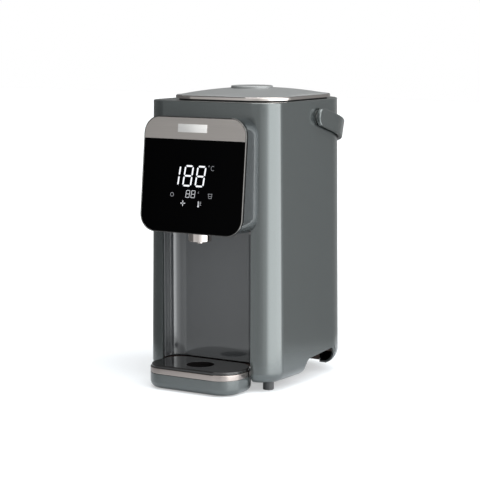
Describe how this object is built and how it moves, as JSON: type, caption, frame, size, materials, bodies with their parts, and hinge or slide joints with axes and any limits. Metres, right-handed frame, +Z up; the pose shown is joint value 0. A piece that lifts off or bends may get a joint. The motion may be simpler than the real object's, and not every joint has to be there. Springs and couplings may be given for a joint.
{
  "type": "electric thermo pot",
  "caption": "Electric thermo pot with a touch control head, dispensing bay, slide-out drip tray, lift-off lid and carrying strap.",
  "frame": {"origin": "centre of the footprint of the whole object at the level it stands on", "axes": "+Z up, front with the nozzle and drip tray towards -Y, +X to the right of someone facing the back"},
  "size_m": [0.1912, 0.2606, 0.3555],
  "materials": {
    "shell_grey": "glossy metallic grey",
    "lid_grey": "satin metallic grey",
    "liner_grey": "glossy dark grey",
    "black_glass": "black glass panel",
    "brushed_strip": "brushed warm nickel",
    "bright_trim": "polished warm chrome",
    "dark_plastic": "moulded black",
    "circuit_board": "green laminate",
    "black_gloss": "polished black",
    "pot_steel": "stainless steel",
    "jacket_foil": "foamed sleeve",
    "cast_metal": "cast",
    "seal_rubber": "silicone rubber",
    "hose_silicone": "translucent silicone",
    "base_plastic": "moulded dark brown-grey",
    "foot_rubber": "soft rubber"
  },
  "bodies": {
    "lid": {"lid_ring": "bright_trim", "lid_dome": "lid_grey", "lid_seat_gasket": "seal_rubber", "lid_liner": "dark_plastic", "lid_gasket": "seal_rubber", "knob_spring": "pot_steel"},
    "knob": {"lid_knob": "lid_grey"},
    "strap": {"carry_strap": "shell_grey"},
    "tray": {"tray_body": "shell_grey", "tray_band": "bright_trim", "tray_ledge": "dark_plastic"},
    "tray_cover": {"tray_cover": "black_gloss"},
    "impeller": {"pump_impeller": "dark_plastic", "motor_shaft": "pot_steel", "motor_rotor": "cast_metal"},
    "housing": {"outer_shell": "shell_grey", "base_skirt": "shell_grey", "head_cowl": "shell_grey", "top_collar": "shell_grey", "bay_liner": "liner_grey", "panel_glass": "black_glass", "panel_strip": "brushed_strip", "panel_bezel": "bright_trim", "panel_carrier": "dark_plastic", "display_board": "circuit_board", "display_module": "dark_plastic", "nozzle_sleeve": "bright_trim", "nozzle_tip": "bright_trim", "inner_pot": "pot_steel", "insulation_jacket": "jacket_foil", "heater_disc": "cast_metal", "thermostat": "dark_plastic", "temperature_sensor": "pot_steel", "pot_seal": "seal_rubber", "motor_can": "pot_steel", "pump_housing": "dark_plastic", "pump_cover": "dark_plastic", "inlet_hose": "hose_silicone", "riser_hose": "hose_silicone", "main_board": "circuit_board", "board_posts": "pot_steel", "relay": "dark_plastic", "transformer": "cast_metal", "power_inlet": "dark_plastic", "inlet_pins": "pot_steel", "pivot_pins": "pot_steel", "pivot_washers": "hose_silicone", "base_plate": "base_plastic", "base_screws": "pot_steel", "front_feet": "foot_rubber", "rear_feet": "foot_rubber"}
  },
  "joints": [
    {"name": "strap_hinge", "type": "hinge", "parent": "housing", "child": "strap", "pos_m": [0, 0.0292, 0.3193], "axis": [1, 0, 0], "range_deg": [0, 106]},
    {"name": "lid_lift", "type": "slide", "parent": "housing", "child": "lid", "axis": [0, 0, 1], "range_m": [0, 0.04]},
    {"name": "knob_press", "type": "slide", "parent": "lid", "child": "knob", "axis": [0, 0, -1], "range_m": [0, 0.003], "stiffness_N_per_m": 300, "springref_m": -0.002, "deforming": ["knob_spring"]},
    {"name": "tray_slide", "type": "slide", "parent": "housing", "child": "tray", "axis": [0, -1, 0], "range_m": [0, 0.11]},
    {"name": "tray_cover_lift", "type": "slide", "parent": "tray", "child": "tray_cover", "axis": [0, 0, 1], "range_m": [0, 0.03]},
    {"name": "impeller_spin", "type": "hinge", "parent": "housing", "child": "impeller", "pos_m": [0.038, 0.0022, 0.045], "axis": [0, 0, 1], "continuous": true}
  ]
}
